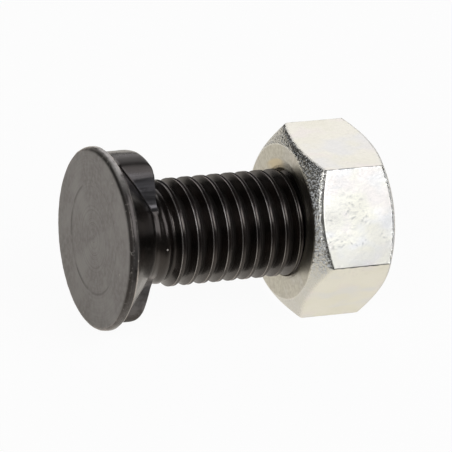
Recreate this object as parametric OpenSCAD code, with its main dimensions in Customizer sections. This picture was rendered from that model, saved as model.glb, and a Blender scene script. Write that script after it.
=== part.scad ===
// Plow bolt: a flat countersunk head with two nibs under it, a threaded shank,
// and a chamfered hex nut run up the thread.
// The bolt lies along +X with the middle of its head face at the origin,
// and one flat of the nut faces down.

/* [Head] */
// Diameter of the round head
head_d = 20.4; // [19.6:0.1:24]
// Length of the straight rim behind the head face
rim_h = 1.1; // [0.8:0.1:1.6]
// Rounding of the rim's front edge
rim_round = 0.3; // [0.1:0.05:0.5]
// Bevel of the rim's back edge
rim_bevel = 0.25; // [0.1:0.05:0.3]
// Full angle of the countersunk cone
cone_angle = 96; // [84:1:104]
// Radius of the fillet between the cone and the neck
neck_fillet = 0.8; // [0.3:0.1:1.2]

/* [Nibs] */
// Width of a nib between its parallel sides
nib_w = 8; // [5:0.25:10]
// Distance from the bolt axis to the outer face of a nib
nib_reach = 9.5; // [8.5:0.1:9.7]
// Distance from the head face to the end of a nib, at the neck
nib_end = 5.8; // [4.5:0.1:7]
// Slope of the end of a nib down towards its outer face
nib_slope = 8; // [0:1:15]
// Rounding of the outer end edge of a nib
nib_round = 1.3; // [0.3:0.1:2]
// Turn of the nibs about the bolt axis, from upright
nib_turn = 17; // [0:1:180]

/* [Shank] */
// Diameter over the thread crests
thread_d = 12; // [10:0.5:13]
// Advance of the thread in one turn
thread_pitch = 1.75; // [1.25:0.25:2]
// Distance from the head face to the start of the thread
thread_start = 5.8; // [5.5:0.1:12]
// Length in which the thread grows to its full depth
thread_runout = 2.5; // [1:0.25:4]
// Turn of the thread about the bolt axis
thread_turn = 280; // [0:5:355]
// Length of the bolt from the head face to its tip
bolt_l = 34; // [34:1:60]
// Chamfer at the tip
tip_chamfer = 1.3; // [0.8:0.1:1.8]

/* [Nut] */
// Width of the nut across its flats
nut_af = 19; // [17:0.5:22]
// Height of the nut
nut_h = 10; // [6:0.5:11]
// Distance from the head face to the bearing face of the nut
grip = 22.8; // [14:0.1:24]
// Diameter of the flat ring that the chamfers leave on each end face
nut_ring_d = 17.2; // [15:0.1:18]
// Diameter of the countersunk mouth at each end of the bore
nut_mouth_d = 13.1; // [12.8:0.1:14]
// Radial play between the thread crests and the bore of the nut
thread_play = 0.05; // [0.02:0.01:0.1]

/* [Hidden] */
$fn = 96;

// Metric thread form: flanks 30 degrees from square, crest flat an eighth of the pitch
flank_angle = 30;
thread_sides = 36;
thread_r = thread_d / 2;
thread_depth = 0.6134 * thread_pitch;
crest_w = thread_pitch / 8;
flank_w = thread_depth * tan(flank_angle);
// The thread is rolled on a neck of the pitch radius
neck_r = thread_r - 0.3248 * thread_pitch;
// Corners of one thread: distance along the bolt and radius at full depth
thread_form = [
    [0, thread_r - thread_depth],
    [flank_w, thread_r],
    [flank_w + crest_w, thread_r],
    [2 * flank_w + crest_w, thread_r - thread_depth]
];
corners = len(thread_form);
// Turned surfaces start half a step away from the corners of the thread
seam_turn = 180 / thread_sides;
rod_steps = thread_sides * ceil((bolt_l + 2 * thread_pitch - rim_h) / thread_pitch);

head_r = head_d / 2;
cone_half = cone_angle / 2;
fillet_r = neck_r + neck_fillet;
fillet_x = rim_h + (neck_fillet - (fillet_r - head_r + rim_bevel) * cos(cone_half)) / sin(cone_half);
// The fillet stops this many degrees short of running along the neck
fillet_stop = 10;
// Middle of the rounding at the outer end edge of a nib
nib_round_r = nib_reach - nib_round;
nib_round_x = nib_end - (nib_round_r - neck_r) * tan(nib_slope) - nib_round / cos(nib_slope);
// Straight pieces in a rounded edge
arc_pieces = 6;

nut_chamfer_angle = 30;
nut_corner_r = nut_af / 2 / cos(30);
// The chamfer cones run this far past the corners of the nut
nut_chamfer_over = 1;
nut_chamfer_r = nut_corner_r + nut_chamfer_over;
nut_chamfer_h = (nut_chamfer_r - nut_ring_d / 2) * tan(nut_chamfer_angle);
bore_r = thread_r + thread_play;

// Lays a shape that was built along +Z down along +X
module along_bolt() {
    rotate([0, 90, 0]) children();
}

// Points on an arc from one angle to another
function arc(centre, r, from, to, pieces) = [
    for (i = [0 : pieces])
        let (angle = from + (to - from) * i / pieces)
        centre + r * [cos(angle), sin(angle)]
];

// Share of the full thread depth at a distance along the bolt
function depth_share(x) = max(0, min(1, (x - thread_start) / thread_runout));

// Corner of the thread after a number of steps around the bolt
function thread_point(step, corner) =
    let (
        angle = 360 * step / thread_sides,
        x = rim_h + thread_pitch * step / thread_sides + thread_form[corner][0],
        r = neck_r + depth_share(x) * (thread_form[corner][1] - neck_r)
    )
    [r * cos(angle), r * sin(angle), x];

// Neck and thread as one rod, swept along the helix and closed by a fan at each end
module threaded_rod() {
    points = [for (step = [0 : rod_steps]) for (corner = [0 : corners - 1]) thread_point(step, corner)];
    function at(step, corner) = corners * step + corner;
    first = len(points);
    last = first + 1;
    top = rod_steps - thread_sides;
    faces = [
        for (step = [0 : rod_steps - 1]) for (k = [0 : corners - 2]) each [
            [at(step, k), at(step, k + 1), at(step + 1, k + 1)],
            [at(step, k), at(step + 1, k + 1), at(step + 1, k)]
        ],
        for (step = [0 : top - 1]) each [
            [at(step, corners - 1), at(step + thread_sides, 0), at(step + thread_sides + 1, 0)],
            [at(step, corners - 1), at(step + thread_sides + 1, 0), at(step + 1, corners - 1)]
        ],
        for (step = [0 : thread_sides - 1]) each [
            [at(step, 0), at(step + 1, 0), first],
            [at(top + step + 1, corners - 1), at(top + step, corners - 1), last]
        ],
        for (k = [0 : corners - 2]) each [
            [at(0, k + 1), at(0, k), first],
            [at(rod_steps, k), at(rod_steps, k + 1), last]
        ],
        [at(thread_sides, 0), at(0, corners - 1), first],
        [at(top, corners - 1), at(rod_steps, 0), last]
    ];
    ends = [[0, 0, rim_h], [0, 0, points[first - 1][2]]];
    polyhedron(concat(points, ends), faces, convexity = 20);
}

// Space inside the chamfered tip of the bolt
module tip_envelope() {
    wide = thread_r + thread_pitch;
    rotate_extrude()
        polygon([
            [0, 0],
            [wide, 0],
            [wide, bolt_l - (wide - thread_r + tip_chamfer)],
            [thread_r - tip_chamfer, bolt_l],
            [0, bolt_l]
        ]);
}

// Flat face, rim, cone and fillet of the head
module head() {
    rotate_extrude()
        polygon(concat(
            [[0, 0]],
            arc([head_r - rim_round, rim_round], rim_round, -90, 0, arc_pieces),
            [[head_r, rim_h - rim_bevel], [head_r - rim_bevel, rim_h]],
            arc([fillet_r, fillet_x], neck_fillet, 180 + cone_half, 180 + fillet_stop, arc_pieces),
            [[0, fillet_x - neck_fillet * sin(fillet_stop)]]
        ));
}

// Two opposite nibs cut from one turned disc by the slab between their sides
module nibs() {
    rotate([0, 0, -nib_turn])
        intersection() {
            rotate_extrude()
                polygon(concat(
                    [[0, rim_h / 2], [nib_reach, rim_h / 2]],
                    arc([nib_round_r, nib_round_x], nib_round, 0, 90 - nib_slope, arc_pieces),
                    [[0, nib_end + neck_r * tan(nib_slope)]]
                ));
            translate([-head_d, -nib_w / 2, 0]) cube([2 * head_d, nib_w, 2 * nib_end]);
        }
}

module plow_bolt() {
    color("#2b2a2a")
        along_bolt()
        union() {
            nibs();
            rotate([0, 0, thread_turn]) {
                rotate([0, 0, seam_turn]) head();
                intersection() {
                    threaded_rod();
                    rotate([0, 0, seam_turn]) tip_envelope();
                }
            }
        }
}

// Hexagon within the two chamfer cones
module nut_blank() {
    intersection() {
        rotate([0, 0, 30]) cylinder(r = nut_corner_r, h = nut_h, $fn = 6);
        rotate_extrude()
            polygon([
                [0, 0],
                [nut_ring_d / 2, 0],
                [nut_chamfer_r, nut_chamfer_h],
                [nut_chamfer_r, nut_h - nut_chamfer_h],
                [nut_ring_d / 2, nut_h],
                [0, nut_h]
            ]);
    }
}

// Bore at the size of the thread crests, with a countersunk mouth at each end
module nut_bore() {
    mouth_r = nut_mouth_d / 2;
    mouth_h = (mouth_r - bore_r) * tan(flank_angle);
    rotate_extrude()
        polygon([
            [0, -nut_h],
            [mouth_r, -nut_h],
            [mouth_r, 0],
            [bore_r, mouth_h],
            [bore_r, nut_h - mouth_h],
            [mouth_r, nut_h],
            [mouth_r, 2 * nut_h],
            [0, 2 * nut_h]
        ]);
}

module hex_nut() {
    color("#c9c6bd")
        along_bolt()
        translate([0, 0, grip])
        difference() {
            nut_blank();
            nut_bore();
        }
}

plow_bolt();
hex_nut();
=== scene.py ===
"""Plow bolt with its hex nut: both pieces in detail, their finishes, the floor, the camera and the light."""

import math

import bmesh
import bpy
from mathutils import Matrix, Vector, noise


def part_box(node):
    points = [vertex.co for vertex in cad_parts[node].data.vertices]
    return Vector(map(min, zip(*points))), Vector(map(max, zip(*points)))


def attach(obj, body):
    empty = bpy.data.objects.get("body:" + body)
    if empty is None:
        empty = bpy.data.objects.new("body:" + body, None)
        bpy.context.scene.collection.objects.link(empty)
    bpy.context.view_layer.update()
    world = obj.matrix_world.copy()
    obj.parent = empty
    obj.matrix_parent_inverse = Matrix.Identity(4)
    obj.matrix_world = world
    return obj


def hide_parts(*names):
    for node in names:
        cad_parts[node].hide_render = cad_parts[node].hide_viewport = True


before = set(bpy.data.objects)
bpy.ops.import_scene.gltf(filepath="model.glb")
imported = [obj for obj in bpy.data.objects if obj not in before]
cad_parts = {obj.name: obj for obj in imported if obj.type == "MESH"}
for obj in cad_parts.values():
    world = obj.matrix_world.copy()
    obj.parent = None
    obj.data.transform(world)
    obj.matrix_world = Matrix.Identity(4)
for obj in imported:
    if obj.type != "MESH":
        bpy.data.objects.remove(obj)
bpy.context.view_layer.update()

MM = 0.001
# Points closer than this are joined
MERGE = 0.002 * MM

# Sizes that the frame gives
_, bolt_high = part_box("plow_bolt")
nut_low, nut_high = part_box("hex_nut")
HEAD_R = bolt_high.z
BOLT_L = bolt_high.x
GRIP = nut_low.x
NUT_H = nut_high.x - nut_low.x
NUT_FLAT_R = nut_high.z

# Thread
THREAD_R = 6 * MM
PITCH = 1.75 * MM
# The neck has the thread's pitch radius
NECK_R = THREAD_R - 0.3248 * PITCH
# Turn about the axis and distance along it of one crest
THREAD_TURN = math.radians(280)
CREST_AT = 1.71 * MM
# Where the thread starts as soft waves, and where it grows from them to its full form
WAVES_GROW = (4.8 * MM, 6.2 * MM)
THREAD_GROWS = (6.7 * MM, 8.4 * MM)
WAVE_HEIGHT = 0.13 * MM
# The first turns lie this much nearer to the head than an even pitch puts them
THREAD_LEAD = 0.3 * MM
LEAD_ENDS = (7 * MM, 13 * MM)
TIP_CHAMFER = 1.3 * MM

# Head
RIM_H = 1.1 * MM
RIM_ROUND = 0.55 * MM
RIM_BEVEL = 0.25 * MM
CONE_R = HEAD_R - RIM_BEVEL
CONE_SLOPE = math.tan(math.radians(48))

# Nibs
NIB_W = 8 * MM
NIB_REACH = 9.5 * MM
NIB_END = 5.8 * MM
NIB_TURN = math.radians(-17)
# The forging left the two nibs a little different. Slope of the end and rounding of its outer edge,
# for the lower nib and then for the upper one
NIB_SLOPES = (math.tan(math.radians(15.5)), math.tan(math.radians(4.5)))
NIB_ROUNDS = (1.1 * MM, 0.85 * MM)
# The front side of the lower nib was sheared this much deeper
NIB_TRIM = 0.9 * MM
# Softness of the edges between a nib's sides and its outer face, and of its foot on the neck
NIB_EDGE = 3.6 * MM
NIB_FOOT = 0.8 * MM
# Least sine in the distance to a nib's side, which keeps that distance finite
LEAST_SINE = 0.01
# Where the head ends on the neck, and the gap to the shank that is bridged there
NECK_JOIN = NIB_END + 0.45 * MM
NECK_GAP = 0.1 * MM

# Nut
RING_R = 8.6 * MM
MOUTH_R = 6.55 * MM
# The countersink was cut off centre, so it is wider at the top
MOUTH_WIDER = 0.7 * MM
MOUTH_WIDEST = math.radians(150)
MOUTH_SLOPE = math.tan(math.radians(15))
BORE_R = 6.05 * MM
CHAMFER_SLOPE = math.tan(math.radians(30))
# Softness of the arcs where the chamfers meet the flats, of the hexagon's corners and of the rims
ARC_BLEND = 0.75 * MM
FAR_ARC_BLEND = 0.3 * MM
CORNER_BLEND = 0.09 * MM
NUT_EDGE = 0.04 * MM

# Unevenness of the faces: size and height of its waves, a seed and the stretch along the bolt
FORGED_WAVES = (1.8 * MM, 0.035 * MM, 3, 1)
SHEARED_WAVES = (0.9 * MM, 0.05 * MM, 31, 8)
RIM_WAVES = (0.9 * MM, 0.03 * MM, 11, 1)
ROLLED_WAVES = (1.1 * MM, 0.012 * MM, 23, 1)
PLATED_WAVES = (3 * MM, 0.014 * MM, 5, 1)


def spoke(turn):
    """Direction square to the bolt's axis, at a turn about it from straight down."""
    return Vector((0, math.sin(turn), -math.cos(turn)))


def turn_of(place):
    return math.atan2(place.y, -place.z)


def out_of(place):
    """Distance of a place from the bolt's axis."""
    return math.hypot(place.y, place.z)


def at(along, out, turn):
    """Place at a distance along the bolt's axis and out from it."""
    return Vector((along, 0, 0)) + out * spoke(turn)


def mix(a, b, share):
    return a + (b - a) * share


def soft_min(a, b, width):
    """Lesser of two values, rounded off where they are closer than a width."""
    overlap = max(width - abs(a - b), 0) / width
    return min(a, b) - overlap * overlap * width / 4


def soft_max(a, b, width):
    return -soft_min(-a, -b, width)


def smooth_step(value, low, high):
    share = min(1, max(0, (value - low) / (high - low)))
    return share * share * (3 - 2 * share)


def between(low, high):
    """Two angles in degrees, as radians."""
    return math.radians(low), math.radians(high)


def along_steps(value, steps):
    """Value read off a line through (share, value) steps."""
    for (low, a), (high, b) in zip(steps, steps[1:]):
        if value <= high:
            return mix(a, b, (value - low) / (high - low))
    return steps[-1][1]


def roughen(bm, verts, size, height, seed, stretch):
    """Moves points along their normals by a smooth, uneven amount."""
    bm.normal_update()
    for vert in verts:
        place = Vector((vert.co.x / stretch, vert.co.y, vert.co.z)) / size
        vert.co += vert.normal * height * noise.noise(place + Vector((seed, 0, 0)))


def add_piece(bm, name, body, node, material):
    """Turns a bmesh into a piece that rides on a body and stands for a CAD node."""
    mesh = bpy.data.meshes.new(name)
    bm.to_mesh(mesh)
    bm.free()
    mesh.shade_smooth()
    mesh.materials.append(material)
    piece = bpy.data.objects.new(name, mesh)
    bpy.context.scene.collection.objects.link(piece)
    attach(piece, body)
    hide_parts(node)


# Form of the thread

# Corners of one thread from the middle of its crest to the middle of its root:
# distance along from the first and depth below the crest, in mm
HALF_THREAD = [
    (0, 0.09), (0.01, 0.087), (0.115, 0.03), (0.135, 0.01), (0.155, 0), (0.215, 0), (0.233, 0.014),
    (0.248, 0.05), (0.28, 0.13), (0.43, 0.39), (0.57, 0.66), (0.715, 0.95), (0.79, 1.03), (0.875, 1.06),
]
# Depths below the crest between which the bright wear of the crest's two ridges fades
WEAR_FADES = (0.004 * MM, 0.02 * MM)
# Wear of the ridge that lies farther from the head, against 1 for the other
FAR_RIDGE_WEAR = 0.05
# Steps of the thread in one turn
THREAD_STEPS = 120


def thread_rows():
    """Distance along one pitch and out from the axis, for each corner of the thread."""
    half = [(along * MM, THREAD_R - below * MM) for along, below in HALF_THREAD]
    return half[:-1] + [(PITCH - along, out) for along, out in reversed(half[1:])]


def thread_lead(along):
    """How much nearer to the head the thread lies, at a distance along the bolt."""
    return THREAD_LEAD * (1 - smooth_step(along, *LEAD_ENDS))


def past_crest(along, turn):
    """Distance along the bolt from the last crest, within one pitch."""
    return (along + thread_lead(along) - CREST_AT - PITCH * (turn - THREAD_TURN) / math.tau) % PITCH


def thread_form(along, turn):
    """Radius of the full thread at a place on the shank."""
    past = past_crest(along, turn)
    return THREAD_R - along_steps(min(past, PITCH - past) / MM, HALF_THREAD) * MM


def thread_out(along, turn, full):
    """Radius of the shank: soft waves grow to the full thread, which the chamfer of the tip cuts."""
    phase = math.tau * past_crest(along, turn) / PITCH
    wave = WAVE_HEIGHT * math.cos(phase) * smooth_step(along, *WAVES_GROW)
    grown = mix(NECK_R + wave, full, smooth_step(along, *THREAD_GROWS))
    return min(grown, THREAD_R - TIP_CHAMFER + BOLT_L - along)


# Head of the bolt: a turned sleeve whose rows are pulled into the face, rim, cone, nibs and neck

# Rows of the face as shares of its radius, close together where its recess ends
FACE_SHARES = [
    0, 0.1, 0.25, 0.4, 0.5, 0.56, 0.59, 0.605, 0.61, 0.617, 0.625, 0.633,
    0.64, 0.65, 0.69, 0.75, 0.85, 0.93, 0.98, 1,
]
# Rows of the other parts, from the face to the neck
ROW_COUNTS = {"front_edge": 6, "rim": 5, "back_edge": 5, "cone": 18, "wall": 12, "end": 18, "neck": 4}
HEAD_ROWS = [("face", share) for share in FACE_SHARES]
HEAD_ROWS += [(part, (i + 1) / count) for part, count in ROW_COUNTS.items() for i in range(count)]
# Rows at the end of the neck that stay as they are when the others behind the rim are smoothed
FIXED_ROWS = 2
SMOOTH_ROUNDS = 10
QUARTER_COLUMNS = 60
# Share of a quarter turn and angle from a nib's middle in degrees, with the columns close at the nib's sides
COLUMN_STEPS = [(0, 0), (0.2, 19), (0.48, 31), (0.78, 52), (1, 90)]
# Depth of the face's recess, and the shares of the face's radius between which it ends
FACE_RECESS = 0.05 * MM
RECESS_ENDS = (0.61, 0.64)
# Radius at which the thread's first waves have faded at the foot of a nib
WAVES_FADED = NECK_R + 0.3 * MM
# Bright wear of the rim's two edges
EDGE_WEAR = {"front_edge": 0.4, "back_edge": 1}
# Groove in the rounded front edge, painted near black as shade: its depth, the share of the edge that it
# takes up at the top and on the side that faces the front, and the turns between which it starts, widens and
# ends
SHADE_GROOVE_DEPTH = 0.07 * MM
TOP_SHADE = 0.7
SIDE_SHADE = 1
SHADE_STARTS = between(135, 160)
SHADE_WIDENS = between(200, 222)
SHADE_ENDS = between(275, 310)
# Dust on the rim, with painted light on its upper part: the shares of the front edge between which it sets
# in, the turns between which it starts and ends, and how much of it lies elsewhere
DUST_AND_LIGHT_SETS_IN = (TOP_SHADE - 0.2, TOP_SHADE)
DUST_AND_LIGHT_STARTS = between(110, 150)
DUST_AND_LIGHT_ENDS = between(190, 213)
DUST_AND_LIGHT_ELSEWHERE = 0.08
# Dust on the sides of the lower nib, and how bare they are against 1 on the upper nib
NIB_DUST = 0.2
LOWER_BARE = 0.45
# Distances along and across a nib between which its bare sides set in
BARE_ALONG = (3.2 * MM, 4.2 * MM)
BARE_ACROSS = (3.3 * MM, 3.9 * MM)
# Distances along and across a nib between which the painted dark band at its outer edges, a painted dark
# reflection, sets in and ends
BAND_ALONG = (6.5 * MM, 7.5 * MM)
BAND_STARTS = (0.8 * MM, 2.4 * MM)
BAND_ENDS = (3.2 * MM, 3.7 * MM)


def nib_angle(turn):
    """Angle of a column from the lower nib's middle, with the columns drawn close at the nibs' sides."""
    quarters, share = divmod(turn / (math.pi / 2), 1)
    if quarters % 2:
        return quarters * math.pi / 2 + math.pi / 2 - math.radians(along_steps(1 - share, COLUMN_STEPS))
    return quarters * math.pi / 2 + math.radians(along_steps(share, COLUMN_STEPS))


def nib_trim(angle):
    """How much deeper the side of a nib was sheared, at an angle from the lower nib's middle."""
    return NIB_TRIM if math.cos(angle) > 0 > math.sin(angle) else 0


def nib_out(angle):
    """Distance from the axis to the side or outer face of a nib, or to the neck between the nibs."""
    side = (NIB_W / 2 - nib_trim(angle)) / max(abs(math.sin(angle)), LEAST_SINE)
    return soft_max(soft_min(NIB_REACH, side, NIB_EDGE), NECK_R, NIB_FOOT)


def nib_end(out, nib):
    """Distance along the axis to the end of a nib, at a distance out from the axis."""
    slope, rounding = NIB_SLOPES[nib], NIB_ROUNDS[nib]
    middle_out = NIB_REACH - rounding
    middle_along = NIB_END - (middle_out - NECK_R) * slope - rounding * math.hypot(1, slope)
    line = NIB_END - (out - NECK_R) * slope
    if out <= middle_out:
        return line
    return min(line, middle_along + math.sqrt(max(0, rounding ** 2 - (out - middle_out) ** 2)))


def head_place(part, share, angle):
    """Distance along and out from the axis for a row of the head, at an angle from the lower nib's middle."""
    quarter = share * math.pi / 2
    nib = int(math.cos(angle) < 0)
    wall = nib_out(angle)
    cone_end = RIM_H + (CONE_R - wall) / CONE_SLOPE
    if part == "face":
        out = share * (HEAD_R - RIM_ROUND)
        return FACE_RECESS * (1 - smooth_step(share, *RECESS_ENDS)), out
    if part == "front_edge":
        return RIM_ROUND * (1 - math.cos(quarter)), HEAD_R - RIM_ROUND * (1 - math.sin(quarter))
    if part == "rim":
        return mix(RIM_ROUND, RIM_H - RIM_BEVEL, share), HEAD_R
    if part == "back_edge":
        return RIM_H - RIM_BEVEL * (1 - math.sin(quarter)), HEAD_R - RIM_BEVEL * (1 - math.cos(quarter))
    if part == "cone":
        return mix(RIM_H, cone_end, share), mix(CONE_R, wall, share)
    if part == "wall":
        return mix(cone_end, nib_end(wall, nib), share), wall
    out = mix(wall, NECK_R, share * share)
    plain = 1 - smooth_step(wall, NECK_R, NECK_R + MM)
    if part == "end":
        return nib_end(out, nib) + plain * share * (NECK_JOIN - NIB_END) / 2, out
    start = NIB_END + plain * (NECK_JOIN - NIB_END) / 2
    return mix(start, NECK_JOIN, share), NECK_R


def head_wear(part, share):
    """Wear of the rim's two edges."""
    return EDGE_WEAR.get(part, 0) * math.sin(math.pi * share)


def rim_groove_shade(part, share, turn):
    """Groove between the face and the rim, painted dark as shade, narrow at the top and wide on the front
    side.
    """
    if part != "front_edge":
        return 0
    start = smooth_step(turn, *SHADE_STARTS)
    end = smooth_step(turn, *SHADE_ENDS)
    width = mix(TOP_SHADE, SIDE_SHADE, smooth_step(turn, *SHADE_WIDENS))
    return (start - end) * math.sin(math.pi * min(1, share / width)) ** 2


def rim_dust_and_light(part, share, turn):
    """Dust on the rim and painted light from above, most of it on the upper part."""
    cover = {"front_edge": smooth_step(share, *DUST_AND_LIGHT_SETS_IN), "rim": 1, "back_edge": 1}.get(part, 0)
    upper = smooth_step(turn, *DUST_AND_LIGHT_STARTS) - smooth_step(turn, *DUST_AND_LIGHT_ENDS)
    return cover * mix(DUST_AND_LIGHT_ELSEWHERE, 1, upper)


def on_nib(place):
    """Distances along a nib, out from the axis, and across it, as if its side weren't trimmed."""
    out = out_of(place)
    angle = turn_of(place) - NIB_TURN
    return out * math.cos(angle), abs(out * math.sin(angle)) + nib_trim(angle)


def on_nib_side(place):
    """1 on the sheared sides of the nibs, 0 elsewhere."""
    along, across = on_nib(place)
    return smooth_step(abs(along), *BARE_ALONG) * smooth_step(across, *BARE_ACROSS)


def nib_edge_shade(place):
    """Painted dark band along the outer edges of the nibs, standing in for a dark reflection."""
    along, across = on_nib(place)
    band = smooth_step(across, *BAND_STARTS) - smooth_step(across, *BAND_ENDS)
    return band * smooth_step(abs(along), *BAND_ALONG)


def head_mesh():
    """Bmesh of the head, open at the neck."""
    bm = bmesh.new()
    row = bm.verts.layers.int.new("row")
    wear = bm.verts.layers.float.new("wear")
    sheared = bm.verts.layers.float.new("sheared")
    # Painted shade: near black in the groove between face and rim and, as a dark reflection, along the nibs'
    # outer edges
    painted_shade = bm.verts.layers.float.new("painted_shade")
    # Dust on the rim and nibs, with painted light on the rim's upper part
    dust = bm.verts.layers.float.new("dust")
    verts = []
    for number in range(len(HEAD_ROWS)):
        vert = bm.verts.new(at(number * MM, HEAD_R, 0))
        vert[row] = number
        verts.append(vert)
    edges = [bm.edges.new(pair) for pair in zip(verts, verts[1:])]
    bmesh.ops.spin(bm, geom=verts + edges, cent=(0, 0, 0), axis=(1, 0, 0), angle=math.tau,
                   steps=4 * QUARTER_COLUMNS, use_merge=True)
    for vert in bm.verts:
        turn = turn_of(vert.co) % math.tau
        angle = nib_angle(turn)
        part, share = HEAD_ROWS[vert[row]]
        along, out = head_place(part, share, angle)
        place_turn = (angle + NIB_TURN) % math.tau
        # Painted shade in the groove between face and rim
        dark = rim_groove_shade(part, share, place_turn)
        # Dust on the rim, and painted light on its upper part
        vert[dust] = rim_dust_and_light(part, share, place_turn)
        vert.co = at(along + SHADE_GROOVE_DEPTH * dark, out - SHADE_GROOVE_DEPTH * dark, angle + NIB_TURN)
        vert[painted_shade] = dark
        vert[wear] = head_wear(part, share)
    bmesh.ops.remove_doubles(bm, verts=bm.verts, dist=MERGE)
    first = HEAD_ROWS.index(("back_edge", 1 / ROW_COUNTS["back_edge"]))
    last = len(HEAD_ROWS) - 1 - FIXED_ROWS
    soft = [vert for vert in bm.verts if first <= vert[row] <= last]
    for _ in range(SMOOTH_ROUNDS):
        bmesh.ops.smooth_vert(bm, verts=soft, factor=0.5, use_axis_x=True, use_axis_y=True, use_axis_z=True)
    for vert in [vert for vert in bm.verts if vert.co.x > WAVES_GROW[0]]:
        along = vert.co.x
        out = out_of(vert.co)
        turn = turn_of(vert.co)
        bare_neck = 1 - smooth_step(out, NECK_R, WAVES_FADED)
        threaded = thread_out(along, turn, thread_form(along, turn))
        vert.co = at(along, mix(out, threaded, bare_neck), turn)
    bmesh.ops.recalc_face_normals(bm, faces=bm.faces)
    uneven = [vert for vert in soft if HEAD_ROWS[vert[row]][0] != "neck"]
    roughen(bm, uneven, *FORGED_WAVES)
    sides = [vert for vert in soft if HEAD_ROWS[vert[row]][0] in ("wall", "end")]
    for vert in sides:
        vert[sheared] = on_nib_side(vert.co)
        # Painted dark reflection along the nibs' outer edges
        vert[painted_shade] = nib_edge_shade(vert.co)
        if on_nib(vert.co)[0] > 0:
            vert[dust] = NIB_DUST * vert[sheared]
            vert[sheared] *= LOWER_BARE
    roughen(bm, [vert for vert in sides if vert[sheared] > 0.5], *SHEARED_WAVES)
    rim = [vert for vert in bm.verts if HEAD_ROWS[vert[row]][0] in ("front_edge", "rim", "back_edge")]
    roughen(bm, rim, *RIM_WAVES)
    bm.verts.layers.int.remove(row)
    return bm


# Shank: one pitch of thread form, repeated, turned along the helix and cut at the neck and the tip

def cut(bm, along, keep_after):
    """Cuts away what lies before or after a distance along the bolt, and returns the open rim."""
    made = bmesh.ops.bisect_plane(
        bm, geom=bm.verts[:] + bm.edges[:] + bm.faces[:], dist=MERGE,
        plane_co=(along, 0, 0), plane_no=(1, 0, 0),
        clear_inner=keep_after, clear_outer=not keep_after)
    return [edge for edge in made["geom_cut"] if isinstance(edge, bmesh.types.BMEdge)]


def shank():
    """Bmesh of the threaded shank, open at the neck."""
    bm = bmesh.new()
    wear = bm.verts.layers.float.new("wear")
    first_turn = math.floor((NECK_JOIN - CREST_AT) / PITCH) - 1
    last_turn = math.ceil((BOLT_L - CREST_AT) / PITCH) + 1
    verts = []
    for turn in range(first_turn, last_turn):
        for along, out in thread_rows():
            vert = bm.verts.new(at(CREST_AT + turn * PITCH + along, out, THREAD_TURN))
            ridge = FAR_RIDGE_WEAR if along < PITCH / 2 else 1
            vert[wear] = ridge * (1 - smooth_step(THREAD_R - out, *WEAR_FADES))
            verts.append(vert)
    edges = [bm.edges.new(pair) for pair in zip(verts, verts[1:])]
    bmesh.ops.spin(bm, geom=verts + edges, cent=(0, 0, 0), axis=(1, 0, 0), dvec=(PITCH / THREAD_STEPS, 0, 0),
                   angle=math.tau, steps=THREAD_STEPS, use_merge=False)
    bmesh.ops.remove_doubles(bm, verts=bm.verts, dist=MERGE)
    for vert in bm.verts:
        along = vert.co.x - thread_lead(vert.co.x)
        turn = turn_of(vert.co)
        vert[wear] *= smooth_step(along, *THREAD_GROWS)
        vert.co = at(along, thread_out(along, turn, out_of(vert.co)), turn)
    bmesh.ops.recalc_face_normals(bm, faces=bm.faces)
    roughen(bm, bm.verts, *ROLLED_WAVES)
    cut(bm, NECK_JOIN + NECK_GAP, keep_after=True)
    tip = cut(bm, BOLT_L, keep_after=False)
    bmesh.ops.contextual_create(bm, geom=tip)
    return bm


def make_bolt(material):
    bm = shank()
    head = head_mesh()
    held = bpy.data.meshes.new("head")
    head.to_mesh(held)
    head.free()
    bm.from_mesh(held)
    bpy.data.meshes.remove(held)
    bmesh.ops.bridge_loops(bm, edges=[edge for edge in bm.edges if edge.is_boundary])
    bmesh.ops.recalc_face_normals(bm, faces=bm.faces)
    add_piece(bm, "bolt", "bolt", "plow_bolt", material)


# Nut: a closed outline turned about the axis, with its side pulled into a hexagon between two chamfer cones

def even(count):
    return [i / count for i in range(count)]


# Rows along the side: close together from each end past the arcs, in steps in mm, and fewer in the middle
END_STEP = 0.075
END_COUNT = 25
MIDDLE_FROM = 2.2 * MM
MIDDLE_STEPS = 8
END_ROWS = [END_STEP * i * MM for i in range(END_COUNT)]
MIDDLE_ROWS = [MIDDLE_FROM + (NUT_H - 2 * MIDDLE_FROM) * i / MIDDLE_STEPS for i in range(MIDDLE_STEPS + 1)]
SIDE_ROWS = END_ROWS[1:] + MIDDLE_ROWS + [NUT_H - along for along in reversed(END_ROWS)]
NUT_SHARES = {
    "bore": even(10),
    "far_mouth": even(3),
    "far_ring": even(6),
    "side": SIDE_ROWS[::-1],
    "ring": even(8),
    "mouth": even(4),
}
NUT_ROWS = [(part, share) for part, shares in NUT_SHARES.items() for share in shares]
SIDE_COLUMNS = 36
SIDE = math.pi / 3
# Share of half a side and angle from its corner in degrees, with the columns drawn close at the corner
CORNER_STEPS = [(0, 0), (0.08, 0.12), (0.16, 0.26), (0.24, 0.45), (0.32, 0.8), (0.4, 1.7), (0.5, 4), (1, 30)]


def side_angle(turn):
    """Angle from the middle of the nearest flat."""
    return (turn + SIDE / 2) % SIDE - SIDE / 2


def drawn_close(turn):
    """Turn of a column after it is drawn towards the nearest corner of the hexagon."""
    angle = side_angle(turn)
    from_corner = math.radians(along_steps(1 - abs(angle) / (SIDE / 2), CORNER_STEPS))
    return turn - angle + math.copysign(SIDE / 2 - from_corner, angle)


def hexagon(turn):
    """Distance from the axis to the hexagon with its corners rounded."""
    angle = abs(side_angle(turn))
    return soft_min(NUT_FLAT_R / math.cos(angle), NUT_FLAT_R / math.cos(SIDE - angle), CORNER_BLEND)


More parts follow.
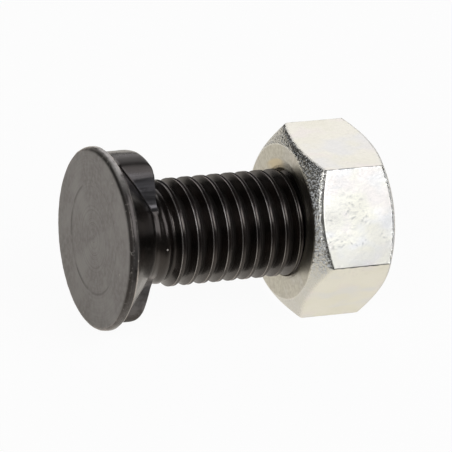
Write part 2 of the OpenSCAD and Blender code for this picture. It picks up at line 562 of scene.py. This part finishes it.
def nut_place(part, share, turn):
    """Distance along from the bearing face and out from the axis, at a turn about the axis."""
    if part == "side":
        cone = RING_R + min(share, NUT_H - share) / CHAMFER_SLOPE
        return share, soft_min(hexagon(turn), cone, ARC_BLEND if share < NUT_H / 2 else FAR_ARC_BLEND)
    mouth = MOUTH_R + MOUTH_WIDER * (1 + math.cos(turn - MOUTH_WIDEST)) / 2
    mouth_h = (mouth - BORE_R) * MOUTH_SLOPE
    starts = {
        "bore": ((mouth_h, BORE_R), (NUT_H - mouth_h, BORE_R)),
        "far_mouth": ((NUT_H - mouth_h, BORE_R), (NUT_H, mouth)),
        "far_ring": ((NUT_H, mouth), (NUT_H, RING_R)),
        "ring": ((0, RING_R), (0, mouth)),
        "mouth": ((0, mouth), (mouth_h, BORE_R)),
    }
    (along, out), (next_along, next_out) = starts[part]
    return mix(along, next_along, share), mix(out, next_out, share)


# Reach of the painted dark line on a corner of the hexagon, a painted dark reflection, about the axis, and
# the depths below the chamfer's cone between which it sets in
CORNER_REACH = 0.014
CORNER_SETS_IN = (0.1 * MM, 0.3 * MM)
# Width outside the ring over which the chamfer's rough skin sets in, and depth below the cone where it ends
SKIN_START = 0.2 * MM
SKIN_DEPTH = 0.3 * MM
# Turns between which the countersink's golden tint starts and ends, depths between which it sets in,
# and depth past which there is none
GILT_STARTS = between(122, 140)
GILT_ENDS = between(155, 172)
GILT_SETS_IN = (0.02 * MM, 0.07 * MM)
GILT_DEPTH = MM


def below_chamfer(place):
    """Depth of a place below the nearer chamfer's cone, along the axis."""
    end = min(place.x - GRIP, GRIP + NUT_H - place.x)
    return end - (out_of(place) - RING_R) * CHAMFER_SLOPE


def corner_wear(place):
    """1 on the corners of the hexagon, where a dark line is painted as a dark reflection, 0 elsewhere."""
    past_corner = SIDE / 2 - abs(side_angle(turn_of(place)))
    clear = smooth_step(below_chamfer(place), *CORNER_SETS_IN)
    outside = out_of(place) > NUT_FLAT_R
    return clear * (1 - smooth_step(past_corner, 0, CORNER_REACH)) * outside


def rough_skin(place):
    """1 on the chamfers, 0 elsewhere."""
    outside = smooth_step(out_of(place), RING_R, RING_R + SKIN_START)
    return outside * (1 - smooth_step(below_chamfer(place), 0, SKIN_DEPTH))


def gilded(place):
    """1 on the countersink where it is widest, which the plating left golden, 0 elsewhere."""
    turn = turn_of(place) % math.tau
    upper = smooth_step(turn, *GILT_STARTS) - smooth_step(turn, *GILT_ENDS)
    in_mouth = out_of(place) < MOUTH_R + MOUTH_WIDER and place.x < GRIP + GILT_DEPTH
    return upper * in_mouth * smooth_step(place.x - GRIP, *GILT_SETS_IN)


def make_nut(material):
    bm = bmesh.new()
    row = bm.verts.layers.int.new("row")
    verts = []
    for number, (part, share) in enumerate(NUT_ROWS):
        along, out = nut_place(part, share, 0)
        vert = bm.verts.new(at(GRIP + along, out, 0))
        vert[row] = number
        verts.append(vert)
    edges = [bm.edges.new(pair) for pair in zip(verts, verts[1:] + verts[:1])]
    bmesh.ops.spin(bm, geom=verts + edges, cent=(0, 0, 0), axis=(1, 0, 0), angle=math.tau,
                   steps=6 * SIDE_COLUMNS, use_merge=True)
    for vert in bm.verts:
        turn = drawn_close(turn_of(vert.co))
        along, out = nut_place(*NUT_ROWS[vert[row]], turn)
        vert.co = at(GRIP + along, out, turn)
    bmesh.ops.remove_doubles(bm, verts=bm.verts, dist=MERGE)
    bmesh.ops.recalc_face_normals(bm, faces=bm.faces)
    rims = [NUT_ROWS.index(start) for start in (("far_ring", 0), ("side", NUT_H), ("ring", 0), ("mouth", 0))]
    edges = [edge for edge in bm.edges
             if edge.verts[0][row] == edge.verts[1][row] and edge.verts[0][row] in rims]
    bmesh.ops.bevel(bm, geom=edges, offset=NUT_EDGE, offset_type="OFFSET", segments=3, profile=0.5,
                    affect="EDGES", material=-1)
    bm.verts.layers.int.remove(row)
    # Corners of the hexagon, where a dark reflection line is painted
    corner = bm.verts.layers.float.new("corner")
    skin = bm.verts.layers.float.new("skin")
    gilt = bm.verts.layers.float.new("gilt")
    for vert in bm.verts:
        vert[gilt] = gilded(vert.co)
        vert[corner] = corner_wear(vert.co)
        vert[skin] = rough_skin(vert.co)
    roughen(bm, bm.verts, *PLATED_WAVES)
    add_piece(bm, "nut", "nut", "hex_nut", material)


# Finishes

def put(tree, kind, inputs=None, **settings):
    """Adds a shader node. A socket given as an input is linked, and anything else is the input's value."""
    made = tree.nodes.new(kind)
    for name, value in settings.items():
        setattr(made, name, value)
    for name, value in (inputs or {}).items():
        if isinstance(value, bpy.types.NodeSocket):
            tree.links.new(value, made.inputs[name])
        else:
            made.inputs[name].default_value = value
    return made


def spread(tree, value, low, high, out_low=0, out_high=1):
    """Spreads a value smoothly between two limits."""
    limits = {"Value": value, "From Min": low, "From Max": high, "To Min": out_low, "To Max": out_high}
    return put(tree, "ShaderNodeMapRange", limits, interpolation_type="SMOOTHSTEP").outputs["Result"]


def sums(tree, kind, a, b):
    """Sum, product or difference of two values. All but a difference is held between 0 and 1."""
    return put(tree, "ShaderNodeMath", {0: a, 1: b}, operation=kind, use_clamp=kind != "SUBTRACT").outputs[0]


def blend(tree, share, a, b):
    """Colour between two colours."""
    return put(tree, "ShaderNodeMix", {0: share, 6: a, 7: b}, data_type="RGBA").outputs[2]


def grain(tree, vector, scale, detail=3):
    texture = put(tree, "ShaderNodeTexNoise", {"Vector": vector, "Scale": scale, "Detail": detail})
    return texture.outputs["Fac"]


def group(name, numbers, result):
    """An empty shader node group that takes a vector and numbers, and gives one number."""
    tree = bpy.data.node_groups.new(name, "ShaderNodeTree")
    tree.interface.new_socket("Vector", in_out="INPUT", socket_type="NodeSocketVector")
    for number in numbers:
        tree.interface.new_socket(number, in_out="INPUT", socket_type="NodeSocketFloat")
    tree.interface.new_socket(result, in_out="OUTPUT", socket_type="NodeSocketFloat")
    return tree, put(tree, "NodeGroupInput").outputs, put(tree, "NodeGroupOutput").inputs[result]


def specks_group():
    """Sparse round specks: a mask that is 1 on a speck."""
    tree, given, result = group("specks", ("Scale", "Share", "Size"), "Mask")
    cells = put(tree, "ShaderNodeTexVoronoi", {"Vector": given["Vector"], "Scale": given["Scale"]}).outputs
    pick = put(tree, "ShaderNodeSeparateColor", {"Color": cells["Color"]}).outputs["Red"]
    near = put(tree, "ShaderNodeMath", {0: cells["Distance"], 1: given["Size"]}, operation="LESS_THAN")
    chosen = put(tree, "ShaderNodeMath", {0: pick, 1: given["Share"]}, operation="LESS_THAN")
    tree.links.new(sums(tree, "MULTIPLY", near.outputs[0], chosen.outputs[0]), result)
    return tree


def clouds_group():
    """Soft uneven patches from 0 to 1."""
    tree, given, result = group("clouds", ("Scale", "Detail", "Low", "High"), "Value")
    patches = grain(tree, given["Vector"], given["Scale"], given["Detail"])
    tree.links.new(spread(tree, patches, given["Low"], given["High"]), result)
    return tree


SPECKS = specks_group()
CLOUDS = clouds_group()


def specks(tree, vector, scale, share, size):
    given = {"Vector": vector, "Scale": scale, "Share": share, "Size": size}
    return put(tree, "ShaderNodeGroup", given, node_tree=SPECKS).outputs["Mask"]


def clouds(tree, vector, scale, low, high, detail=4):
    given = {"Vector": vector, "Scale": scale, "Detail": detail, "Low": low, "High": high}
    return put(tree, "ShaderNodeGroup", given, node_tree=CLOUDS).outputs["Value"]


def new_material(name):
    """A material with its tree, its shader and the object's own coordinates."""
    material = bpy.data.materials.new(name)
    material.use_nodes = True
    tree = material.node_tree
    place = put(tree, "ShaderNodeTexCoord").outputs["Object"]
    return material, tree, tree.nodes["Principled BSDF"], place


def attribute(tree, name):
    return put(tree, "ShaderNodeAttribute", attribute_name=name).outputs["Fac"]


def stretched(tree, place, scale):
    return put(tree, "ShaderNodeMapping", {"Vector": place, "Scale": scale}).outputs["Vector"]


def from_axis(tree, place):
    """Distance from the bolt's axis."""
    across = stretched(tree, place, (0, 1, 1))
    return put(tree, "ShaderNodeVectorMath", {0: across}, operation="LENGTH").outputs["Value"]


# Colours of the black finish
DEEP_BLACK = (0.0028, 0.0024, 0.0021, 1)
BROWN_BLACK = (0.009, 0.0064, 0.0052, 1)
BARE_DARK = (0.06, 0.058, 0.06, 1)
BARE_LIGHT = (0.14, 0.137, 0.144, 1)
DUST_DARK = (0.207, 0.194, 0.183, 1)
DUST_LIGHT = (0.298, 0.283, 0.268, 1)
DUST_THICK = (0.32, 0.305, 0.289, 1)
# Dark of the face's turning marks and of the painted shade line at the end of its recess
SCORED_AND_SHADE_DARK = (0.09, 0.086, 0.081, 1)
# Pale colour of the rim: dust, and painted light on its upper part
RIM_DUST_AND_LIGHT = (0.54, 0.515, 0.488, 1)
# Near black painted as shade in the rim's groove and as a dark reflection along the nibs' outer edges
SHADE_BLACK = (0.004, 0.0035, 0.003, 1)
WORN_METAL = (0.29, 0.27, 0.256, 1)
# Pale of the chips on the rim's edges and of the bright dots, painted glints
CHIP_AND_GLINT_PALE = (0.45, 0.42, 0.38, 1)
BLACK_SHEEN = (1, 0.9, 0.84, 1)
BLACK_SPECULAR = 0.65
# Patches of the black finish: how fine they are, and the noise levels between which they set in
BLACK_PATCHES = (420, 0.35, 0.7)
SHEAR_BANDS = (1300, 0.4, 0.6)
SHEAR_STRETCH = (0.06, 1, 1)
DUST_GRAIN = (1700, 0.3, 0.75)
DUST_PATCHES = (260, 0.4, 0.7)
STEP_PATCHES = (300, 0.4, 0.6)
RIM_PATCHES = (800, 0.25, 0.55)
WEAR_PATCHES = (700, 0.2, 0.6)
CHIPS_AND_SPARKLE = (2600, 0.59, 0.65)
# Bright dots, painted glints: how fine their cells are, the share of the cells that has one, and its size
# there
GLINT_DOTS = (620, 0.05, 0.07)
# Fineness and detail of the grain
BLACK_GRAIN = (5200, 4)
# Limits between which something changes, followed by the values at them where these aren't 0 and 1.
# Distances along the bolt between which the finish of the face ends, and that of the whole head
FACE_FADES = (0.06 * MM, 0.13 * MM, 1, 0)
HEAD_FADES = (RIM_H, 2 * RIM_H, 1, 0)
# Radii between which the turning marks of the face get weaker, and their fineness and noise levels
MARKS_FADE = (1.5 * MM, 5 * MM, 0.42, 0.14)
MARKS_SCALE = 4200
MARKS_LEVELS = (0.45, 0.7)
# Radii between which the painted shade line at the end of the face's recess sets in and ends
STEP_STARTS = (5.9 * MM, 6.1 * MM)
STEP_FADES = (6.15 * MM, 6.4 * MM, 0.6, 0)
# Radii between which the matt root of the thread ends
ROOT_FADES = (THREAD_R - MM, THREAD_R - 0.7 * MM, 1, 0)
# Roughness of the grain, of the thread's roots and of the face and the painted shade, and how much wear takes
# off
GRAIN_ROUGHNESS = (0.3, 0.7, 0.2, 0.27)
ROOT_MATT = (0.75, 0.75, 0.75, 1)
FACE_MATT = (0.5, 0.5, 0.5, 1)
WEAR_POLISH = 0.08
# How metallic worn and sheared faces are
WORN_METALLIC = 0.8
SHEARED_METALLIC = 0.6


def black_steel():
    """Black finish: near black on most faces, dusty grey on the head face and worn bright on the edges, with
    painted shade in the rim's groove, at the end of the face's recess and along the nibs' outer edges,
    painted light on the rim's upper part and pale dots as painted glints.
    """
    material, tree, shader, place = new_material("black_steel")
    parts = put(tree, "ShaderNodeSeparateXYZ", {"Vector": place}).outputs
    face = spread(tree, parts["X"], *FACE_FADES)
    out = from_axis(tree, place)
    fine = grain(tree, place, *BLACK_GRAIN)
    dark = blend(tree, clouds(tree, place, *BLACK_PATCHES), DEEP_BLACK, BROWN_BLACK)
    bands = clouds(tree, stretched(tree, place, SHEAR_STRETCH), *SHEAR_BANDS)
    sheared = attribute(tree, "sheared")
    bare = blend(tree, bands, BARE_DARK, BARE_LIGHT)
    settled = blend(tree, clouds(tree, place, *DUST_GRAIN), DUST_DARK, DUST_LIGHT)
    dust = blend(tree, clouds(tree, place, *DUST_PATCHES), settled, DUST_THICK)
    turned = put(tree, "ShaderNodeTexNoise", {"W": out, "Scale": MARKS_SCALE, "Detail": 3},
                 noise_dimensions="1D").outputs["Fac"]
    marks = sums(tree, "MULTIPLY", spread(tree, turned, *MARKS_LEVELS), spread(tree, out, *MARKS_FADE))
    # Painted shade line at the end of the face's recess
    step_shade = sums(tree, "MULTIPLY", spread(tree, out, *STEP_STARTS), spread(tree, out, *STEP_FADES))
    broken_step_shade = sums(tree, "MULTIPLY", step_shade, clouds(tree, place, *STEP_PATCHES))
    scored_and_shaded = sums(tree, "ADD", marks, broken_step_shade)
    face_tone = blend(tree, scored_and_shaded, dust, SCORED_AND_SHADE_DARK)
    # Dust on the rim and nibs, and painted light on the rim's upper part
    rim_dust_light = sums(tree, "MULTIPLY", attribute(tree, "dust"), clouds(tree, place, *RIM_PATCHES))
    dusted_and_lit = blend(tree, rim_dust_light, blend(tree, sheared, dark, bare), RIM_DUST_AND_LIGHT)
    ground = blend(tree, face, dusted_and_lit, face_tone)
    # Painted shade: near black in the rim's groove and along the nibs' outer edges
    painted_shade = attribute(tree, "painted_shade")
    with_shade = blend(tree, painted_shade, ground, SHADE_BLACK)
    rubbed = attribute(tree, "wear")
    wear = sums(tree, "MULTIPLY", rubbed, sums(tree, "SUBTRACT", 1, painted_shade))
    worn = sums(tree, "MULTIPLY", wear, clouds(tree, place, *WEAR_PATCHES))
    metal = blend(tree, worn, with_shade, WORN_METAL)
    rubbed_head = sums(tree, "MULTIPLY", rubbed, spread(tree, parts["X"], *HEAD_FADES))
    # Chips on the rim's edges, partly wear and partly painted sparkle, and dots that are painted glints
    chips_and_sparkle = sums(tree, "MULTIPLY", rubbed_head, clouds(tree, place, *CHIPS_AND_SPARKLE))
    glints_and_chips = sums(tree, "ADD", specks(tree, place, *GLINT_DOTS), chips_and_sparkle)
    tree.links.new(blend(tree, glints_and_chips, metal, CHIP_AND_GLINT_PALE), shader.inputs["Base Color"])
    worn_metallic = sums(tree, "MULTIPLY", worn, WORN_METALLIC)
    metallic = sums(tree, "ADD", worn_metallic, sums(tree, "MULTIPLY", sheared, SHEARED_METALLIC))
    tree.links.new(metallic, shader.inputs["Metallic"])
    polish = sums(tree, "MULTIPLY", wear, WEAR_POLISH)
    smoothed = sums(tree, "SUBTRACT", spread(tree, fine, *GRAIN_ROUGHNESS), polish)
    in_root = sums(tree, "MULTIPLY", spread(tree, out, *ROOT_FADES), spread(tree, parts["X"], *THREAD_GROWS))
    dull = blend(tree, in_root, smoothed, ROOT_MATT)
    matt = blend(tree, sums(tree, "ADD", face, painted_shade), dull, FACE_MATT)
    tree.links.new(matt, shader.inputs["Roughness"])
    shader.inputs["Specular IOR Level"].default_value = BLACK_SPECULAR
    shader.inputs["Specular Tint"].default_value = BLACK_SHEEN
    bump = put(tree, "ShaderNodeBump", {"Strength": 0.12, "Distance": 0.02 * MM, "Height": fine})
    tree.links.new(bump.outputs["Normal"], shader.inputs["Normal"])
    return material


# Colours of the zinc plate
CREAM = (0.8, 0.79, 0.71, 1)
DEEP_CREAM = (0.765, 0.755, 0.66, 1)
ROSY_ZINC = (0.79, 0.76, 0.713, 1)
BLUE_ZINC = (0.752, 0.755, 0.732, 1)
# Grey of the bearing ring, a painted dark reflection
RING_SHADE_GREY = (0.42, 0.4, 0.34, 1)
GOLD_ZINC = (0.6, 0.52, 0.36, 1)
PIT_GREY = (0.28, 0.28, 0.275, 1)
# Painted dark line along the hexagon's corners, standing in for a dark reflection
CORNER_SHADE_DARK = (0.13, 0.14, 0.15, 1)
SKIN_GREY = (0.6, 0.595, 0.555, 1)
# White of the specks on the chamfers, painted glints
GLINT_SPECK_WHITE = (0.8, 0.82, 0.82, 1)
# Patches of the zinc plate: how fine they are, the noise levels between which they set in, and their detail
CREAM_PATCHES = (230, 0.35, 0.7)
ROSY_PATCHES = (260, 0.48, 0.66, 2)
ROSY_STRETCH = (1, 1.7, 0.8)
BLUE_PATCHES = (230, 0.5, 0.7, 2)
BLUE_STRETCH = (0.9, 1.3, 1.6)
PITS = (3000, 0.55, 0.7, 2)
PIT_PATCHES = (480, 0.47, 0.6)
STREAKS = (2100, 0.5, 0.72)
STREAK_STRETCH = (0.3, 1, 1)
STREAK_PATCHES = (240, 0.45, 0.65)
SHADE_LINE_BREAKS = (1100, 0.42, 0.6)
# Fineness and detail of the grain, and of the grain on the ring
ZINC_GRAIN = (3000, 2)
RING_GRAIN = (3000, 3)
# Strength of the pits, the streaks, the painted dark lines on the corners and the dull skin of the chamfers
PIT_STRENGTH = 0.36
STREAK_STRENGTH = 0.2
CORNER_SHADE_STRENGTH = 0.8
SKIN_STRENGTH = 0.75
# Pale specks on the chamfers, painted glints of scratches: how fine their cells are, the share of the cells
# that has one, and for the large ones its size there and their strength
GLINT_SPECKS = (5200, 0.75)
LARGE_GLINT_SPECKS = (2700, 0.4, 0.3)
LARGE_STRENGTH = 0.9
# Limits between which something changes, followed by the values at them where these aren't 0 and 1.
# Radii between which the tone of the ring, a painted dark reflection, ends, and the noise levels of its grain
RING_FADES = (RING_R, RING_R + 0.15 * MM, 1, 0)
RING_LEVELS = (0.25, 0.75, 0.55, 0.85)
# Middle of the pitted patch on the front flat, and the distances from it between which pits get rare
PITTED_AT = (27 * MM, -9.1 * MM, 3.2 * MM)
PITS_FADE = (3 * MM, 6 * MM, 1, 0.12)
# Heights between which the chamfers get crusted, and places across between which the specks get smaller,
# leaving the front lighter as painted light
CRUST_GROWS = (-3 * MM, MM, 0.15, 1)
GLINT_SPECK_SIZES = (-8.5 * MM, -MM, 0.56, 0.34)
# Roughness of the grain, and what the ring and the chamfers add to it
ZINC_ROUGHNESS = (0.3, 0.7, 0.2, 0.26)
RING_ROUGHER = 0.1
SKIN_ROUGHER = 0.08
# Relief of the grain from the flats to the chamfers, and what the crust adds to it
GRAIN_RELIEF = (0, 1, 0.015, 0.4)
CRUST_RELIEF = 0.6


def zinc_steel():
    """Bright zinc plate: faintly tinted, pitted and rough on the chamfers, with painted dark lines along the
    corners, a painted dark reflection on the bearing ring and pale specks on the chamfers as painted glints.
    """
    material, tree, shader, place = new_material("zinc_steel")
    parts = put(tree, "ShaderNodeSeparateXYZ", {"Vector": place}).outputs
    skin = attribute(tree, "skin")
    bearing = spread(tree, from_axis(tree, place), *RING_FADES)
    fine = grain(tree, place, *ZINC_GRAIN)
    cream = blend(tree, clouds(tree, place, *CREAM_PATCHES), CREAM, DEEP_CREAM)
    rosy_here = clouds(tree, stretched(tree, place, ROSY_STRETCH), *ROSY_PATCHES)
    rosy = blend(tree, rosy_here, cream, ROSY_ZINC)
    blue_here = clouds(tree, stretched(tree, place, BLUE_STRETCH), *BLUE_PATCHES)
    tinted = blend(tree, blue_here, rosy, BLUE_ZINC)
    # Ring darkened as a painted dark reflection
    ring_shade = sums(tree, "MULTIPLY", bearing, spread(tree, grain(tree, place, *RING_GRAIN), *RING_LEVELS))
    ring_shaded = blend(tree, ring_shade, tinted, RING_SHADE_GREY)
    golden = blend(tree, attribute(tree, "gilt"), ring_shaded, GOLD_ZINC)
    from_pits = put(tree, "ShaderNodeVectorMath", {0: place, 1: PITTED_AT}, operation="DISTANCE")
    pitted_here = spread(tree, from_pits.outputs["Value"], *PITS_FADE)
    pits = sums(tree, "MULTIPLY", clouds(tree, place, *PITS), clouds(tree, place, *PIT_PATCHES))
    streaks = clouds(tree, stretched(tree, place, STREAK_STRETCH), *STREAKS)
    smudges = sums(tree, "MULTIPLY", streaks, clouds(tree, place, *STREAK_PATCHES))
    faint_smudges = sums(tree, "MULTIPLY", smudges, STREAK_STRENGTH)
    marks = sums(tree, "ADD", sums(tree, "MULTIPLY", pits, PIT_STRENGTH), faint_smudges)
    soiled = sums(tree, "MULTIPLY", marks, pitted_here)
    pitted = blend(tree, soiled, golden, PIT_GREY)
    # Painted dark reflection lines along the hexagon's corners
    edges = sums(tree, "MULTIPLY", attribute(tree, "corner"), CORNER_SHADE_STRENGTH)
    broken_shade_line = sums(tree, "MULTIPLY", edges, clouds(tree, place, *SHADE_LINE_BREAKS))
    shade_lined = blend(tree, broken_shade_line, pitted, CORNER_SHADE_DARK)
    dulled = blend(tree, sums(tree, "MULTIPLY", skin, SKIN_STRENGTH), shade_lined, SKIN_GREY)
    crusted = sums(tree, "MULTIPLY", skin, spread(tree, parts["Z"], *CRUST_GROWS))
    # Pale specks that stand in for glints of scratches, larger towards the front as painted light
    small = specks(tree, place, *GLINT_SPECKS, spread(tree, parts["Y"], *GLINT_SPECK_SIZES))
    large = sums(tree, "MULTIPLY", specks(tree, place, *LARGE_GLINT_SPECKS), LARGE_STRENGTH)
    glint_specks = sums(tree, "MULTIPLY", crusted, sums(tree, "ADD", small, large))
    tree.links.new(blend(tree, glint_specks, dulled, GLINT_SPECK_WHITE), shader.inputs["Base Color"])
    tree.links.new(sums(tree, "SUBTRACT", 1, glint_specks), shader.inputs["Metallic"])
    ring_rougher = sums(tree, "MULTIPLY", bearing, RING_ROUGHER)
    rougher = sums(tree, "ADD", ring_rougher, sums(tree, "MULTIPLY", skin, SKIN_ROUGHER))
    matt = sums(tree, "ADD", spread(tree, fine, *ZINC_ROUGHNESS), rougher)
    tree.links.new(matt, shader.inputs["Roughness"])
    crust_relief = sums(tree, "MULTIPLY", crusted, CRUST_RELIEF)
    relief = sums(tree, "ADD", spread(tree, skin, *GRAIN_RELIEF), crust_relief)
    height = sums(tree, "MULTIPLY", fine, relief)
    bump = put(tree, "ShaderNodeBump", {"Strength": 1, "Distance": 0.15 * MM, "Height": height})
    tree.links.new(bump.outputs["Normal"], shader.inputs["Normal"])
    return material


WHITE = (1, 1, 1, 1)
FLOOR_COLOUR = (0.93, 0.93, 0.93, 1)
FLOOR_ROUGHNESS = 0.9
FLOOR_GLOW = 0.95
# Colour of the floor in reflections
FLOOR_MIRRORED = (1, 0.955, 0.885, 1)
# Reflections find the floor bright below the object and behind it, and dark in front of it:
# places across between which it gets bright, and its brightness there
FLOOR_BRIGHTENS = (-48 * MM, -9 * MM, 0.05, 0.94)


def floor_paint():
    """White floor that looks white to the camera and in reflections, and still takes the object's shadow."""
    material, tree, shader, place = new_material("floor_paint")
    shader.inputs["Base Color"].default_value = FLOOR_COLOUR
    shader.inputs["Roughness"].default_value = FLOOR_ROUGHNESS
    rays = put(tree, "ShaderNodeLightPath").outputs
    mirrored = sums(tree, "ADD", rays["Is Glossy Ray"], rays["Is Transmission Ray"])
    seen = sums(tree, "ADD", rays["Is Camera Ray"], mirrored)
    across = put(tree, "ShaderNodeSeparateXYZ", {"Vector": place}).outputs["Y"]
    near = spread(tree, across, *FLOOR_BRIGHTENS)
    glow = sums(tree, "ADD", rays["Is Camera Ray"], sums(tree, "MULTIPLY", mirrored, near))
    colour = blend(tree, rays["Is Camera Ray"], FLOOR_MIRRORED, WHITE)
    white = put(tree, "ShaderNodeEmission", {"Color": colour, "Strength": glow})
    both = put(tree, "ShaderNodeMixShader", {0: sums(tree, "MULTIPLY", seen, FLOOR_GLOW)})
    tree.links.new(shader.outputs["BSDF"], both.inputs[1])
    tree.links.new(white.outputs["Emission"], both.inputs[2])
    tree.links.new(both.outputs["Shader"], tree.nodes["Material Output"].inputs["Surface"])
    return material


# Floor: it touches the rim of the head and the far end of the nut's lower flat

FLOOR_SIZE = 3


def make_floor():
    rim = Vector((RIM_H / 2, 0, -HEAD_R))
    nut_foot = Vector((GRIP + NUT_H - (NUT_FLAT_R - RING_R) * CHAMFER_SLOPE, 0, -NUT_FLAT_R))
    tilt = math.atan2(nut_foot.z - rim.z, nut_foot.x - rim.x)
    bm = bmesh.new()
    bmesh.ops.create_grid(bm, x_segments=1, y_segments=1, size=FLOOR_SIZE)
    bmesh.ops.rotate(bm, verts=bm.verts, cent=(0, 0, 0), matrix=Matrix.Rotation(-tilt, 3, "Y"))
    bmesh.ops.translate(bm, verts=bm.verts, vec=rim)
    mesh = bpy.data.meshes.new("floor")
    bm.to_mesh(mesh)
    bm.free()
    mesh.materials.append(floor_paint())
    floor = bpy.data.objects.new("floor", mesh)
    bpy.context.scene.collection.objects.link(floor)


# Camera: the bolt's axis runs to the right and away, and the bolt is rolled so that a flat of the nut is down

IMAGE = 452
SENSOR = 36
CAMERA_SWING = math.radians(24.33)
CAMERA_LEAN = math.radians(5.33)
BOLT_ROLL = math.radians(32.1)
CAMERA_DISTANCE = 0.6
PIXELS_PER_MM = 9.1
# Place of the head face's centre in the picture, from the picture's centre
HEAD_RIGHT = -14.6 * MM
HEAD_UP = -1.44 * MM


def make_camera():
    forward = Vector((0, -math.cos(BOLT_ROLL), math.sin(BOLT_ROLL)))
    upward = Vector((0, math.sin(BOLT_ROLL), math.cos(BOLT_ROLL)))
    level = math.cos(CAMERA_SWING) * Vector((1, 0, 0)) + math.sin(CAMERA_SWING) * forward
    away = math.sin(CAMERA_SWING) * Vector((1, 0, 0)) - math.cos(CAMERA_SWING) * forward
    right = math.cos(CAMERA_LEAN) * level - math.sin(CAMERA_LEAN) * upward
    up = math.sin(CAMERA_LEAN) * level + math.cos(CAMERA_LEAN) * upward
    data = bpy.data.cameras.new("camera")
    data.sensor_width = SENSOR
    data.lens = PIXELS_PER_MM / MM * CAMERA_DISTANCE * SENSOR / IMAGE
    camera = bpy.data.objects.new("camera", data)
    camera.matrix_world = Matrix((right, up, -away)).transposed().to_4x4()
    camera.location = -(HEAD_RIGHT * right + HEAD_UP * up + CAMERA_DISTANCE * away)
    bpy.context.scene.collection.objects.link(camera)
    bpy.context.scene.camera = camera


# Light

SURROUNDINGS = (0.052, 0.052, 0.052, 1)
MIDDLE = Vector((17 * MM, 0, 0))
BOX_DISTANCE = 0.9
# Soft boxes: name, direction from the object, width, brightness and colour
SOFT_BOXES = (
    ("front_box", (0.4, -0.539, 0.7415), 0.77, 2.3, (0.95, 0.955, 1)),
    ("back_box", (0.4, 0.78, 0.48), 0.66, 1.07, (1, 0.975, 0.98)),
    ("left_box", (-0.68, -0.5, 0.54), 0.35, 5, (1, 1, 1)),
)


def soft_box(name, direction, size, radiance, colour):
    """A square lamp that faces the object, with its light given as the brightness of its face."""
    data = bpy.data.lights.new(name, "AREA")
    data.shape = "SQUARE"
    data.size = size
    data.energy = radiance * math.pi * size * size
    data.color = colour
    lamp = bpy.data.objects.new(name, data)
    toward = Vector(direction).normalized()
    lamp.matrix_world = toward.to_track_quat("Z", "Y").to_matrix().to_4x4()
    lamp.location = MIDDLE + BOX_DISTANCE * toward
    lamp.visible_camera = False
    bpy.context.scene.collection.objects.link(lamp)


def make_light():
    """Three soft boxes, and dim surroundings that look white to the camera."""
    world = bpy.data.worlds.new("studio")
    world.use_nodes = True
    tree = world.node_tree
    seen = put(tree, "ShaderNodeLightPath").outputs["Is Camera Ray"]
    tree.links.new(blend(tree, seen, SURROUNDINGS, WHITE), tree.nodes["Background"].inputs["Color"])
    bpy.context.scene.world = world
    for box in SOFT_BOXES:
        soft_box(*box)


make_bolt(black_steel())
make_nut(zinc_steel())
make_floor()
make_camera()
make_light()
bpy.context.scene.view_settings.view_transform = "Standard"
